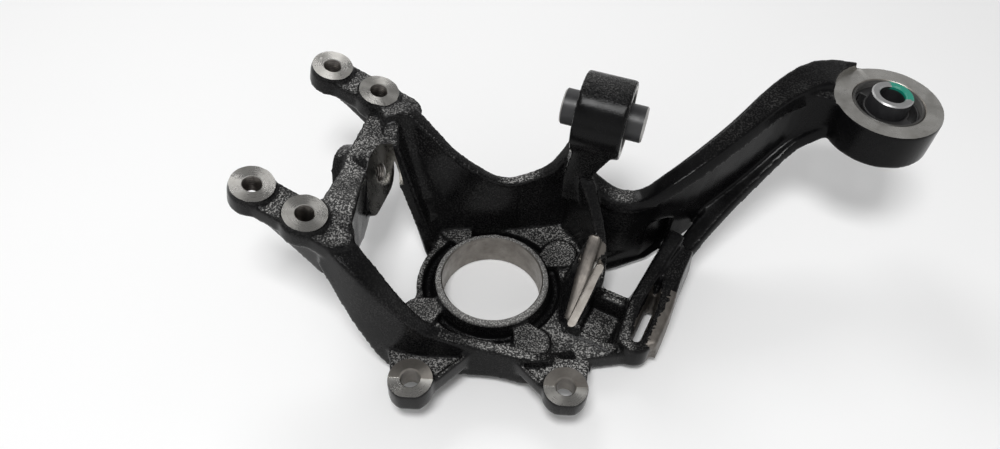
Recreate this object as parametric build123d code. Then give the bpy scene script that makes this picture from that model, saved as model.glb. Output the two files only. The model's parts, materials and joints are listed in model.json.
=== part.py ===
from build123d import *
import os
from math import cos, radians, sin, tan

# Steering knuckle of a rear suspension: one iron casting that carries the wheel hub, the brake
# caliper, two pairs of strut pads, a transverse link bush and a long arm with its own bush.
# Millimetres. The origin is the hub bore's centre in the plane of the collar's lip, +Z runs along
# the bore out of that lip, and +X runs towards the long arm.

# ---------------------------------------------------------------- hub seat
hub_bore_dia = 75.0
hub_lip_wall = 4.5             # width of the collar's lip
collar_root_wall = 8.5         # the collar's wall where its cast flank meets the plate
hub_lip_dia = hub_bore_dia + 2 * hub_lip_wall
collar_root_dia = hub_bore_dia + 2 * collar_root_wall
hub_bore_depth = 27.0          # lip to the outboard mounting face
plate_top_z = -8.0
plate_bottom_z = -24.0
plate_rim_radius = 57.0        # the plate's free edge beside the bore
hub_groove_width = 5.0
hub_groove_depth = 5.0
hub_bolt_circle = 120.0
hub_bolt_first_angle = 31.0
hub_bolt_count = 4
hub_bolt_tap_dia = 10.5        # M12, tapped from the outboard face
hub_bolt_tap_depth = 15.0
hub_boss_radius = 13.5
hub_boss_height = 3.0          # above the plate
hub_land_radius = 9.0          # rounded land that runs from each boss to the collar
hub_land_centre = 51.0

# ---------------------------------------------------------------- caliper bosses
caliper_spacing = 104.0
caliper_offset_y = -93.0
caliper_centre_x = 1.5
caliper_face_z = 8.5
caliper_boss_radius = 15.5
caliper_boss_thickness = {-1: 18.0, 1: 14.5}    # left and right boss
caliper_hole_dia = 13.0
caliper_flat_distance = 14.5   # flat cut across the foot of each boss
gusset_reach = 42.0
gusset_lip = 3.0               # width of the lip on each gusset's edge
gusset_pocket = 7.0            # depth of each gusset's pocket below the boss

# ---------------------------------------------------------------- strut pads, on a tilted plane
pad_plane_origin = (-123.0, -21.5, 88.0)
pad_plane_lean_x = 12.5        # degrees that the pads lean towards +X
pad_plane_lean_y = -4.0        # and towards +Y
pad_row_angle = 157.7          # plan direction of each pair of pads
pad_pitch = 40.0
pad_row_spacing = 125.0
pad_row_offset = 17.5
pad_dia = 30.0
pad_height = 3.0
pad_tap_dia = 12.0             # M14
pad_tap_depth = 22.0           # blind under the inner pads, through at the tips
arm_tip_radius = 16.0
arm_waist = 26.0               # width of each pad arm between its pads
arm_web_depth = 13.5           # depth of each pad arm below its as-cast top, at its tip
arm_root_depth = 30.0          # and under the inner pad

# ---------------------------------------------------------------- side lug with a tapped face
lug_centre = (-85.0, 45.0, 60.0)
lug_axis = (0.93, -0.24, 0.28)
lug_radius = 20.0
lug_tail = (-12.0, 22.0)        # the face runs on to a narrower foot, below and in front
lug_tail_radius = 8.0
lug_length = 30.0
lug_tap_dia = 12.0
lug_tap_depth = 24.0

# ---------------------------------------------------------------- transverse link bush
link_centre = (71.2, 60.0, 113.5)
link_axis_angle = -16.0        # of the bush axis from +X, in plan
link_ear_dia = 56.0
link_ear_length = 35.0
link_bush_dia = 42.0
link_sleeve_wall = 2.0
link_pin_dia = 25.5            # inner sleeve
link_pin_bore = 12.5
link_pin_length = 58.0

# ---------------------------------------------------------------- long arm and its bush
eye_x = 286.5
eye_y = 107.0
eye_face_z = 100.0
eye_dia = 79.0
eye_height = 31.0
arm_bush_dia = 52.0
arm_sleeve_wall = 2.0
arm_pin_dia = 30.0
arm_pin_bore = 18.5
arm_pin_proud = 8.0            # above the eye's machined face
arm_pin_below = 4.0
rubber_inset = 5.0             # rubber ends lie this far inside the sleeve ends
rubber_void_width = 9.0
rubber_void_angle = 46.0       # half the angle that each kidney void spans
eye_spot_margin = 1.0          # the cutter that faces the eye sweeps this far past it

# ---------------------------------------------------------------- clevis at the arm's foot
clevis_angle = 64.0            # plan direction of the clevis plates
clevis_lug_thickness = 9.0
lug_tap_small = 6.8            # M8 near the inner plate's top
inner_tap_place = (68.0, 37.0, 17.0)        # (across, along, up)
inner_tap_depth = 20.0         # right through the lug
inner_tap_relief = 3.0         # clear ring round the hole's mouth
inner_tap_relief_length = 12.0
ledge_width = 4.0              # milled ledge beside the inner lug
rib_rear_u = 31.0              # cross ribs between the clevis plates
rib_front_u = -8.0
slot_width = 6.5               # slot between the middle and the outer plate
slot_wall = 9.0
slot_ends = ((114.6, 5.0), (113.6, 42.0))  # (across, along) from the hub's axis

os.makedirs("parts", exist_ok=True)


def polar(radius, angle):
    return radius * cos(radians(angle)), radius * sin(radians(angle))


def blend(p0, p1, p2, p3, t):
    """Catmull-Rom point between p1 and p2."""
    return tuple(0.5 * (2 * b + (c - a) * t + (2 * a - 5 * b + 4 * c - d) * t ** 2
                        + (3 * b - a - 3 * c + d) * t ** 3)
                 for a, b, c, d in zip(p0, p1, p2, p3))


def flowing(rows, steps):
    """Rows of numbers with a smooth curve through them, steps rows to each span."""
    ends = [rows[0]] + rows + [rows[-1]]
    flow = [blend(*ends[i:i + 4], k / steps) for i in range(len(rows) - 1) for k in range(steps)]
    return flow + [rows[-1]]


def wall(stations, steps=3):
    """Cast wall lofted through stations of (foot point, top point, foot width, top width)."""
    rows = flowing([(*foot, *top, *widths) for foot, top, *widths in stations], steps)
    sections = []
    for i, row in enumerate(rows):
        before, after = rows[max(i - 1, 0)], rows[min(i + 1, len(rows) - 1)]
        dx = after[0] - before[0] + after[3] - before[3]
        dy = after[1] - before[1] + after[4] - before[4]
        side = Vector(-dy, dx, 0).normalized()
        foot, top = Vector(*row[:3]), Vector(*row[3:6])
        foot_half, top_half = side * (row[6] / 2), side * (row[7] / 2)
        sections.append(Wire.make_polygon(
            [foot - foot_half, foot + foot_half, top + top_half, top - top_half], close=True))
    return Solid.make_loft(sections, ruled=True)


def plate_between(points, bottom, top):
    """Flat web with a polygonal plan outline."""
    outline = Face(Wire.make_polygon([(x, y, bottom) for x, y in points], close=True))
    return Solid.extrude(outline, Vector(0, 0, top - bottom))


def disc(radius, height, location):
    """Cylinder that starts at the location's origin and grows along its Z."""
    return location * Cylinder(radius, height, align=(Align.CENTER, Align.CENTER, Align.MIN))


# ================================================================ reference places
link_dir = Vector(*polar(1, link_axis_angle), 0)
link_plane = Plane(origin=link_centre, x_dir=(0, 0, 1), z_dir=link_dir)
eye_plane = Plane(origin=(eye_x, eye_y, eye_face_z))
pad_normal = Vector(tan(radians(pad_plane_lean_x)), tan(radians(pad_plane_lean_y)), 1).normalized()
row_x, row_y = polar(1, pad_row_angle)
row_rise = -(row_x * pad_normal.X + row_y * pad_normal.Y) / pad_normal.Z
pad_plane = Plane(origin=pad_plane_origin, x_dir=(row_x, row_y, row_rise), z_dir=pad_normal)
pad_spots = [(0, 0), (pad_pitch, 0),
             (pad_row_offset, -pad_row_spacing), (pad_row_offset + pad_pitch, -pad_row_spacing)]
lug_plane = Plane(origin=lug_centre, x_dir=(0, 0, 1), z_dir=lug_axis)
hub_bolt_angles = [hub_bolt_first_angle + i * 360 / hub_bolt_count for i in range(hub_bolt_count)]
clevis_u = Vector(*polar(1, clevis_angle), 0)
clevis_w = Vector(*polar(1, clevis_angle - 90), 0)


def clevis_point(w, u, z):
    p = clevis_w * w + clevis_u * u
    return p.X, p.Y, z


# ================================================================ the casting
def hub_plate():
    """Base plate with the collar that holds the hub, and the four bolt bosses."""
    foot = [(-66, -62), (-15, -68), (35, -72), (74, -60), (104, -54), (122, -46), (127, -36), (134, -8),
            (148, 22), (140, 62), (118, 46), (88, 33), (79, 56), (56, 69), (8, 62), (-28, 54),
            (-43, 44), (-49, 24)]
    plate = plate_between(foot, plate_bottom_z, plate_top_z)
    plate += Pos(0, 0, plate_bottom_z) * Cylinder(
        plate_rim_radius, plate_top_z - plate_bottom_z, align=(Align.CENTER, Align.CENTER, Align.MIN))
    collar = Plane.XZ * Polygon(
        (hub_bore_dia / 2 - 1, -hub_bore_depth), (collar_root_dia / 2 + 8, -hub_bore_depth),
        (collar_root_dia / 2 + 8, plate_bottom_z + 1), (collar_root_dia / 2, plate_top_z - 6),
        (hub_lip_dia / 2, 0), (hub_bore_dia / 2 - 1, 0), align=None)
    groove = Plane.XZ * Polygon(
        (hub_lip_dia / 2 + 0.5, plate_top_z + 1),
        (collar_root_dia / 2 - 0.5, plate_top_z - hub_groove_depth),
        (collar_root_dia / 2 + hub_groove_width, plate_top_z - hub_groove_depth),
        (collar_root_dia / 2 + hub_groove_width + 1.5, plate_top_z + 1), align=None)
    plate -= revolve(groove, Axis.Z)
    plate += revolve(collar, Axis.Z)
    for angle in hub_bolt_angles:
        boss = Pos(*polar(hub_bolt_circle / 2, angle)) * Circle(hub_boss_radius)
        land = Pos(*polar(hub_land_centre, angle)) * Circle(hub_land_radius)
        outline = make_hull(boss.edges() + land.edges())
        plate += extrude(Pos(0, 0, plate_top_z - 2) * outline, hub_boss_height + 2)
        plate += disc(hub_boss_radius, hub_bore_depth + plate_bottom_z + 3,
                      Pos(*polar(hub_bolt_circle / 2, angle), -hub_bore_depth))
    return plate


def front_wall():
    """Drafted outer wall: low in front of the hub, rising to the first pad arm."""
    return wall([
        ((74, -58, -20), (60, -60, -6), 14, 9),
        ((35, -72, -20), (33, -71, 8), 12, 9),
        ((8, -68, -20), (8, -67, 10), 12, 9),
        ((-16, -67, -20), (-16, -65, 14), 12, 9),
        ((-46, -67, -20), (-43, -63, 25), 13, 11),
        ((-69, -62, -20), (-62, -58, 44), 13, 13),
        ((-87, -54, 10), (-78, -51, 62), 13, 16),
        ((-100, -44, 34), (-93, -41, 73), 13, 18),
        ((-111, -34, 56), (-105, -30, 79), 14, 20)])


def back_wall():
    """Tall saddle wall behind the hub, from the link ear to the second pad arm."""
    return wall([
        ((60, 70, -20), (57, 74, 80), 12, 12),
        ((43, 67, -20), (42, 68, 55), 12, 10),
        ((25, 63, -20), (24, 63, 46), 12, 9),
        ((6, 60, -20), (5, 58, 45), 12, 9),
        ((-14, 57, -20), (-14, 58, 55), 12, 9),
        ((-32, 52, -22), (-34, 65, 65), 12, 10),
        ((-43, 44, -20), (-53, 78, 77), 11, 11),
        ((-49, 36, -18), (-70, 88, 86), 10, 14),
        ((-53, 30, -16), (-90, 84, 86), 9, 18)])


def lug_web():
    """Web that closes the corner between the back wall's end and the side lug."""
    return wall([
        ((-45, 41, -17), (-80, 80, 83), 9, 10),
        ((-49, 33, -17), (-79, 57, 76), 9, 12)], steps=1)


def side_wall():
    """Short wall that ties the two pad arms together beside the open window."""
    return wall([
        ((-108, -30, 58), (-106, -24, 80), 16, 26),
        ((-101, -8, 38), (-104, -5, 84), 14, 24),
        ((-100, 24, 33), (-102, 30, 74), 16, 19),
        ((-96, 52, 40), (-97, 56, 76), 16, 19),
        ((-86, 74, 50), (-88, 82, 80), 16, 22)])


def pad_arm(tip, root):
    """Arm under one pair of pads: a flat top in the pad plane and a web that deepens to the root."""
    a, b = pad_spots[tip], pad_spots[root]
    root_x = b[0] - 23
    outline = Pos(*a) * Circle(arm_tip_radius)
    outline += Pos(*b) * Circle(arm_tip_radius + 1)
    outline += Pos((a[0] + root_x) / 2, b[1]) * Rectangle(a[0] - root_x, arm_waist)
    outline += Pos(root_x, b[1]) * Circle(arm_waist / 2)
    top = pad_plane.offset(-pad_height)
    arm = extrude(top * outline, -arm_web_depth)
    sections = []
    for x, half, depth in ((a[0] + 2, 10, arm_web_depth + 1), ((a[0] + b[0]) / 2, 12, arm_web_depth + 7),
                           (b[0], 12, arm_root_depth), (root_x, 12, arm_root_depth + 12)):
        corners = [(-half, -4), (half, -4), (half * 0.75, -depth), (-half * 0.75, -depth)]
        sections.append(Wire.make_polygon(
            [top.from_local_coords((x, b[1] + y, z)) for y, z in corners], close=True))
    return arm + Solid.make_loft(sections, ruled=True)


def right_wall():
    """Wall from the link ear down past the clevis's inner plate."""
    return wall([
        ((60, 66, -22), (56, 62, 84), 14, 16),
        ((70, 52, -22), (64, 48, 66), 13, 11),
        ((78, 34, -22), (73, 32, 48), 12, 9),
        ((82, 18, -22), (79, 14, 28), 11, 8),
        ((79, 0, -22), (79, -3, 12), 11, 7),
        ((73, -16, -22), (73, -18, 3), 11, 7),
        ((62, -40, -22), (61, -39, -3), 12, 8)])


def link_ear():
    """Ear of the transverse link with the neck that carries it."""
    half = link_ear_length / 2
    ear = disc(link_ear_dia / 2, link_ear_length, link_plane.offset(-half).location)
    neck = wall([
        ((70, 60, 100), (70, 60, 112), 30, 30),
        ((66, 58, 84), (66, 58, 112), 30, 30)])
    side = Vector(-link_dir.Y, link_dir.X, 0)
    sections = []
    for centre, across, along in (((70, 60, 104), 48, 30), ((66, 57, 84), 30, 25),
                                  ((61, 58, 66), 24, 20), ((60, 58, 40), 26, 18)):
        c = Vector(*centre)
        corners = [c + side * sy * across / 2 + link_dir * sx * along / 2
                   for sx, sy in ((-1, -1), (1, -1), (1, 1), (-1, 1))]
        sections.append(Wire.make_polygon(corners, close=True))
    neck = Solid.make_loft(sections, ruled=False)
    return ear + neck


def long_arm():
    """Tall I-section arm from the back wall and the clevis out to the eye."""
    web = wall([
        ((66, 54, -19), (66, 56, 60), 10, 9),
        ((86, 40, -19), (88, 47, 50), 10, 9),
        ((108, 45, -19), (106, 44, 51), 10, 9),
        ((128, 54, -18), (126, 50, 66), 10, 9),
        ((152, 62, 0), (150, 63, 79), 10, 9),
        ((182, 82, 28), (180, 85, 90), 10, 10),
        ((216, 106, 50), (214, 112, 99), 12, 14),
        ((eye_x - 48.5, 114, 68), (eye_x - 48.5, 118, 102), 20, 22),
        ((eye_x - 30.5, 112, 70), (eye_x - 28.5, 114, 100), 34, 36)])
    top_flange = wall([
        ((66, 56, 50), (66, 56, 61), 16, 12),
        ((86, 47, 40), (86, 47, 50), 18, 14),
        ((106, 43, 43), (106, 43, 53), 18, 14),
        ((124, 47, 57), (124, 47, 67), 20, 13),
        ((146, 59, 70), (146, 59, 80), 21, 13),
        ((176, 82, 82), (176, 82, 92), 23, 15),
        ((210, 113, 91), (210, 113, 102), 28, 20),
        ((eye_x - 46.5, 130, 94), (eye_x - 46.5, 130, 107), 36, 28),
        ((eye_x - 18.5, 128, 92), (eye_x - 18.5, 128, 106), 44, 36)])
    lower_flange = wall([
        ((136, 17, -18), (134, 19, 3), 15, 11),
        ((149, 36, 2), (149, 36, 11), 17, 13),
        ((172, 61, 17), (172, 61, 26), 18, 14),
        ((199, 87, 34), (199, 87, 43), 20, 16),
        ((225, 107, 53), (225, 107, 63), 22, 18),
        ((eye_x - 38.5, 111, 70), (eye_x - 38.5, 111, 80), 28, 24)])
    eye = Pos(eye_x, eye_y, eye_face_z - eye_height) * Cylinder(
        eye_dia / 2, eye_height, align=(Align.CENTER, Align.CENTER, Align.MIN))
    return [web, top_flange, lower_flange, eye]


def clevis():
    """Ribbed foot of the arm: inner lug, middle plate, outer plate and two cross ribs."""
    t = clevis_lug_thickness
    inner_lug = wall([
        (clevis_point(60, -9, -19), clevis_point(66, -4, -2), 16, 6),
        (clevis_point(58, 12, -19), clevis_point(64, 14, 9), 22, t - 1),
        (clevis_point(56, 30, -19), clevis_point(61, 32, 22), 26, t),
        (clevis_point(55, 46, -19), clevis_point(59, 48, 37), 24, t)])
    ledge = wall([
        (clevis_point(68, -7, -19), clevis_point(70, -5, -4), 8, ledge_width),
        (clevis_point(67, 14, -19), clevis_point(70, 16, 3), 9, ledge_width),
        (clevis_point(66, 36, -19), clevis_point(70, 38, 10), 10, ledge_width)])
    middle = wall([
        (clevis_point(103, 2, -21), clevis_point(107, -5, -1), 18, t - 2),
        (clevis_point(101, 30, -21), clevis_point(103.5, 31, 5), 19, t),
        (clevis_point(105, 62, -19), clevis_point(106, 62, 13), 22, t + 1),
        (clevis_point(110, 96, -16), clevis_point(109, 92, 24), 22, t + 3)])
    outer = wall([
        (clevis_point(124, 8, -21), clevis_point(125, 4, 1), 15, t),
        (clevis_point(123, 32, -21), clevis_point(123.5, 34, 6), 15, t + 2),
        (clevis_point(119, 62, -19), clevis_point(119, 62, 11), 18, t + 4),
        (clevis_point(118, 90, -12), clevis_point(118, 90, 13), 18, t + 4)])
    ribs = [wall([(clevis_point(64, u, -21), clevis_point(64, u, z), 8, 6),
                  (clevis_point(105, u, -21), clevis_point(105, u, z), 8, 6)])
            for u, z in ((rib_front_u, -6), (rib_rear_u, -5))]
    ring = [Pos(*clevis_point(*end, 0)[:2]) * Circle(slot_width / 2 + slot_wall) for end in slot_ends]
    rim = extrude(Pos(0, 0, -21) * make_hull(ring[0].edges() + ring[1].edges()), 21)
    return [inner_lug, ledge, middle, outer, rim, *ribs]


def caliper_boss(side):
    """Boss of one caliper bolt with its lipped triangular gusset back to the front wall."""
    x = caliper_centre_x + side * caliper_spacing / 2
    y = caliper_offset_y
    thickness = caliper_boss_thickness[side]
    base_z = caliper_face_z - thickness
    boss = disc(caliper_boss_radius, thickness, Pos(x, y, base_z))
    tangent, far = (x - side * 13, y - 4), (x - side * gusset_reach, y + 26)
    web = plate_between([tangent, (x + side * 14, y), (x + side * 18, y + 26), far],
                        base_z, base_z + thickness - gusset_pocket)
    lip = plate_between([tangent, (tangent[0], tangent[1] + gusset_lip + 2), (far[0], far[1] + gusset_lip), far],
                        base_z, base_z + thickness - 2)
    return [boss, web, lip]


def build_casting():
    body = hub_plate()
    for piece in (front_wall(), back_wall(), lug_web(), side_wall(), right_wall(), link_ear()):
        body += piece
    body += pad_arm(1, 0)
    body += pad_arm(3, 2)
    for side in (-1, 1):
        for piece in caliper_boss(side):
            body += piece
    for piece in long_arm() + clevis():
        body += piece
    lug = Circle(lug_radius) + Pos(*lug_tail) * Circle(lug_tail_radius)
    body += extrude(lug_plane * make_hull(lug.edges()), -lug_length)
    for spot in pad_spots:
        body += disc(pad_dia / 2, pad_height + 2,
                     pad_plane.offset(-pad_height - 2).location * Pos(*spot))
    return body


def cut_casting(body):
    """Openings, pockets, bores and machined faces."""
    body -= Pos(0, 0, -hub_bore_depth - 1) * Cylinder(
        hub_bore_dia / 2, hub_bore_depth + 2, align=(Align.CENTER, Align.CENTER, Align.MIN))
    triangle = [(85, 31), (116, 43), (141, 63), (106, -7), (84, 3)]
    body -= plate_between(triangle, plate_bottom_z - 5, plate_top_z + 30)
    ends = [Pos(*clevis_point(*end, 0)[:2]) * Circle(slot_width / 2) for end in slot_ends]
    slot = make_hull(ends[0].edges() + ends[1].edges())
    body -= extrude(Pos(0, 0, plate_bottom_z - 5) * slot, 60)
    pocket = [clevis_point(w, u, 0)[:2] for w, u in ((73, -4), (97, -4), (97, 27), (73, 27))]
    body -= plate_between(pocket, -20, 20)
    for side in (-1, 1):
        x = caliper_centre_x + side * caliper_spacing / 2
        body -= disc(caliper_hole_dia / 2, 40, Pos(x, caliper_offset_y, -20))
        body -= Pos(x, caliper_offset_y - caliper_flat_distance - 10, 0) * Box(60, 20, 60)
    for spot in pad_spots:
        body -= disc(pad_tap_dia / 2, pad_tap_depth + 1,
                     pad_plane.offset(-pad_tap_depth).location * Pos(*spot))
    small = Plane(origin=clevis_point(*inner_tap_place), x_dir=(0, 0, 1), z_dir=clevis_w)
    body -= disc(lug_tap_small / 2, inner_tap_depth, small.offset(-inner_tap_depth).location)
    body -= disc(lug_tap_small / 2 + inner_tap_relief, inner_tap_relief_length, small.location)
    body -= disc(lug_tap_dia / 2, lug_tap_depth + 1,
                 lug_plane.offset(-lug_tap_depth).location)
    body -= disc(link_bush_dia / 2, link_ear_length + 2,
                 link_plane.offset(-link_ear_length / 2 - 1).location)
    body -= Pos(eye_x, eye_y, eye_face_z) * Cylinder(
        eye_dia / 2 + eye_spot_margin, 30, align=(Align.CENTER, Align.CENTER, Align.MIN))
    body -= Pos(eye_x, eye_y, eye_face_z - eye_height - 10) * Cylinder(
        arm_bush_dia / 2, eye_height + 20, align=(Align.CENTER, Align.CENTER, Align.MIN))
    for angle in hub_bolt_angles:
        body -= disc(hub_bolt_tap_dia / 2, hub_bolt_tap_depth + 1,
                     Pos(*polar(hub_bolt_circle / 2, angle), -hub_bore_depth - 1))
    return body


# ================================================================ bushes
def tube(outer_dia, inner_dia, length):
    """Tube about Z, centred on its own length."""
    return Cylinder(outer_dia / 2, length) - Cylinder(inner_dia / 2, length + 2)


def kidney_void(radius, width, half_angle, length):
    """Curved slot that lets the rubber shear softly."""
    ring = Cylinder(radius + width / 2, length) - Cylinder(radius - width / 2, length + 2)
    reach = 2 * radius
    x, y = polar(reach, half_angle)
    wedge = extrude(Polygon((0, 0), (x, -y), (x, y), align=None), length / 2, both=True)
    return ring & wedge


def build_arm_bush():
    rubber_length = eye_height - 2 * rubber_inset
    middle = Pos(eye_x, eye_y, eye_face_z - eye_height / 2)
    outer = middle * tube(arm_bush_dia, arm_bush_dia - 2 * arm_sleeve_wall, eye_height)
    void_radius = (arm_bush_dia / 2 - arm_sleeve_wall + arm_pin_dia / 2) / 2
    rubber = tube(arm_bush_dia - 2 * arm_sleeve_wall, arm_pin_dia, rubber_length)
    void = kidney_void(void_radius, rubber_void_width * 0.6, rubber_void_angle, rubber_length + 2)
    rubber -= void
    rubber -= Rot(0, 0, 180) * void
    pin_length = eye_height + arm_pin_proud + arm_pin_below
    pin = Pos(0, 0, (arm_pin_proud - arm_pin_below) / 2) * tube(arm_pin_dia, arm_pin_bore, pin_length)
    return outer, middle * rubber, middle * pin


def build_link_bush():
    place = link_plane.location
    rubber_length = link_ear_length - rubber_inset
    outer = place * tube(link_bush_dia, link_bush_dia - 2 * link_sleeve_wall, link_ear_length)
    rubber = place * tube(link_bush_dia - 2 * link_sleeve_wall, link_pin_dia, rubber_length)
    pin = place * tube(link_pin_dia, link_pin_bore, link_pin_length)
    return outer, rubber, pin


def write(node, shape):
    solids = shape.solids()
    print(node, "solids", len(solids), "volume", round(sum(s.volume for s in solids)),
          "valid", all(s.is_valid for s in solids))
    export_step(solids[0] if len(solids) == 1 else Compound(solids), f"parts/{node}.step")


casting = cut_casting(build_casting())
write("knuckle_casting", casting)
for prefix, pieces in (("arm_bush", build_arm_bush()), ("link_bush", build_link_bush())):
    for name, piece in zip(("outer_sleeve", "rubber", "inner_sleeve"), pieces):
        write(f"{prefix}_{name}", piece)
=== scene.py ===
import json
from collections import namedtuple
from math import cos, pi, radians, sin, tau

import bmesh
import bpy
import numpy as np
from mathutils import Matrix, Vector, noise as field


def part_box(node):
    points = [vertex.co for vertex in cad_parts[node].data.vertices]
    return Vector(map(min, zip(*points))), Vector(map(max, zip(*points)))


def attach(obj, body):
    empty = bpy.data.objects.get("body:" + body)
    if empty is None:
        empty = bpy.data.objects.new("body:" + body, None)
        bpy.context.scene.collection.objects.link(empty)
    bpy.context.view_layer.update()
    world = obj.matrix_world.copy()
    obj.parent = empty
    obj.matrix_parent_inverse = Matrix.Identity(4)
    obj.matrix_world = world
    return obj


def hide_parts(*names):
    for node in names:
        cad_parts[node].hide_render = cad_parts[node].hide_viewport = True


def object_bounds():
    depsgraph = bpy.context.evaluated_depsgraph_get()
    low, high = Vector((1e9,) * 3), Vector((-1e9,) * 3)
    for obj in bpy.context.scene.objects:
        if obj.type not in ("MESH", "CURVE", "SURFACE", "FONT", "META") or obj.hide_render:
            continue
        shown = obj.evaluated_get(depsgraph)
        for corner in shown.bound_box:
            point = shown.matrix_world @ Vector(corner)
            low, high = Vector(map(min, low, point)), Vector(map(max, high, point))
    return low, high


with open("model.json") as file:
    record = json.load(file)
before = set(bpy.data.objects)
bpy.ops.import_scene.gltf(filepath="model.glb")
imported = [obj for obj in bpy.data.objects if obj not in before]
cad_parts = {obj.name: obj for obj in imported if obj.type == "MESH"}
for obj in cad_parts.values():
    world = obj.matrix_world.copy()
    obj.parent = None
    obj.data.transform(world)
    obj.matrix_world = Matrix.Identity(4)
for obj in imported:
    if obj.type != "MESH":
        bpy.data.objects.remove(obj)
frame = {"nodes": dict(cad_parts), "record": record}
cad_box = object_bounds()

MM = 0.001

# ================================================================ sizes, in millimetres
# the cast skin
VOXEL = 1.35              # grid of the cast surface
CAST_ROUNDING = 7         # smoothing passes that give the cast edges their radius
KEPT_FACES = 0.47         # share of the cast surface's facets kept, the flat ones going first
GRAIN_SIZE = 1.9          # sand grain in the skin, and its height
GRAIN_HEIGHT = 0.20
GRAIN_START = 0.86        # upward lean of a face where the grain starts to rise
GRAIN_SPAN = 0.1          # it is full when the face leans this much more
LEAST_GRAIN = 0.12        # share of its height on the walls
GRAIN_ON_ARM = 0.3        # and on the smoother arm
GRAIN_INSET = 0.02        # the grain stays this far inside the upper sides of the casting's box
SMOOTH_ARM = 98.0         # the skin is smoother from this x to the eye
SMOOTH_EAR = 104.0        # and from this height up, on the link ear
SHARP_ANGLE = 33          # edges that turn more than this many degrees stay sharp

# metal that the raw casting has before it is machined
STOCK = 1.6               # over each face
PLUG = 0.6                # a plug is this much wider than the bore that it closes
BLANK_INSET = 1.0         # a blank stays this far inside the cast outline
PAD_BLANK_DEPTH = 12.0
CALIPER_BLANK = (14.0, 15.0)    # radius and depth
HUB_BOSS_BLANK = (12.5, 15.0)
LUG_BLANK_DEPTH = 26.0

# cast details that the CAD casting leaves out
EYE_WEB = (-24.0, 34.0, 8.0)    # (x, y, radius) of the web that blends the arm into the eye
EYE_WEB_TOP = 0.6               # its top and bottom, below the eye's face
EYE_WEB_DEPTH = 14.0
FOOT_EDGE = [(86, 32, -21), (97, 36, -21), (120, 47, -21), (132, 56, -19), (142, 64, -16)]
FOOT_EDGE_RADIUS = 3.4          # rolled edge under the arm's web
WALL_BUMPS = [(-53.8, 53.6, 25.5), (-48.1, 47.6, 7.7)]  # two pips on the rear wall
WALL_BUMP_RADIUS = 2.3
WALL_BUMP_HALF = 0.5

# machining
TURNS = 72                # facets round a large cutter
SMALL_TURNS = 40          # facets round a bolt hole
CAP_RINGS = 6             # rings in a capsule's round end
RUN_OUT = 1.0             # a chamfer's cone runs on this far past its edge
FACE_MARGIN = 0.8         # a face mill sweeps this far past the pad or lug
SMALL_HEADROOM = 6.0      # height that a cutter clears over a pad or caliper boss
LUG_HEADROOM = 9.0        # and over the side lug
WIDE_HEADROOM = 8.0       # over the hub's face and the ends of the bush eyes
EYE_HEADROOM = 24.0       # over the eye, where the arm ends
LEDGE_HEADROOM = 40.0     # over the inner lug's ledge
BORE_CHAMFER = 0.9
HOLE_CHAMFER = 0.95       # at the mouth of each tapped hole
HUB_FLARE = 3.0           # the hub bore's upper chamfer runs on this far
THREAD_PITCH = 2.0
THREAD_DEPTH = 0.75       # at that pitch; other threads keep the proportion
THREAD_STEPS = 6          # rows to each pitch
THREAD_FADE = 3           # rows over which a thread ends at the hole's bottom
MOUTH = 2.0               # a tap stands this far out of its hole
HUB_THREAD_PITCH = 1.75
FOOT_THREAD_PITCH = 1.25
THROUGH_TAP = 3.0         # a tap runs this far out of a pad's through hole

# the casting's own sizes, as in the CAD
PAD_RADIUS = 15.0
CALIPER_FACE_RADIUS = 18.0
CALIPER_HOLE_DEPTH = 30.0  # the drill runs right through the boss
CALIPER_STEP = 0.30       # the front half of each caliper face is cut this much deeper and takes the brighter faced finish, the back half the darker bored one: painted reflection on one turned face
LUG_RADIUS = 20.0
LUG_TAIL = (-12.0, 22.0)  # the lug's narrow end, (across, along) from its hole
LUG_TAIL_RADIUS = 8.0
HUB_BOLT_ANGLE = 31.0     # direction of the first bolt, degrees
HUB_BOLT_DEPTH = 15.0
HUB_FACE_RADIUS = 76.0    # sweep of the mill that faces it
LINK_EAR_HALF = 17.5
LINK_FACE_RADIUS = 34.0
EYE_RADIUS = 39.5
EYE_HEIGHT = 31.0
EYE_FACE_MARGIN = 1.0     # its face mills sweep this far past it
FOOT_ANGLE = 64.0         # plan direction of the plates at the arm's foot

# bare metal at the foot, measured across and along the plates and up from the hub's lip
LEDGE_FACE = 65.6         # milled face of the inner lug, across the plates
LEDGE_START = (-4.5, -4.6)      # (along, up) of the milled ledge's two ends
LEDGE_END = (41.0, 10.2)
LEDGE_CUT = 6.2                 # width of the cut
LEDGE_ACROSS = (54, 69)         # what is bare on the inner lug
LEDGE_ALONG = (-8, 49)
LEDGE_SLOPE = 0.55              # it lies above a line of this slope
LEDGE_DROP = 1
LEDGE_FACING = 0.35             # least lean of a bare face, up or to the open side
STRIP_EDGE = 123.0              # bare edge of the outer plate, across
STRIP_ALONG = (2, 50)
STRIP_TOP = 11
SLOT_MIDDLE = 114.1             # the outer plate's slot, across
SLOT_HALF_WIDTH = 5.0
SLOT_ACROSS = (106, 122)
SLOT_ALONG = (0, 48)
SLOT_FACING = 0.80              # its wall leans up or down less than this

# the bushes
EDGE_BREAK = 0.6
PIN_CHAMFER = 1.0
ARM_BUSH_RADIUS = 26.0
ARM_PIN_RADIUS = 15.0
ARM_PIN_PROUD = 8.0
ARM_PIN_BELOW = 4.0
LINK_BUSH_RADIUS = 21.0
LINK_PIN_RADIUS = 12.75
SLEEVE_WALL = 2.0
END_FACING = 0.5                # least lean of a sleeve's end face along its axis
RUBBER_VOXEL = 0.7
RUBBER_ROUNDING = 5
RUBBER_SHARP_ANGLE = 60
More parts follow.
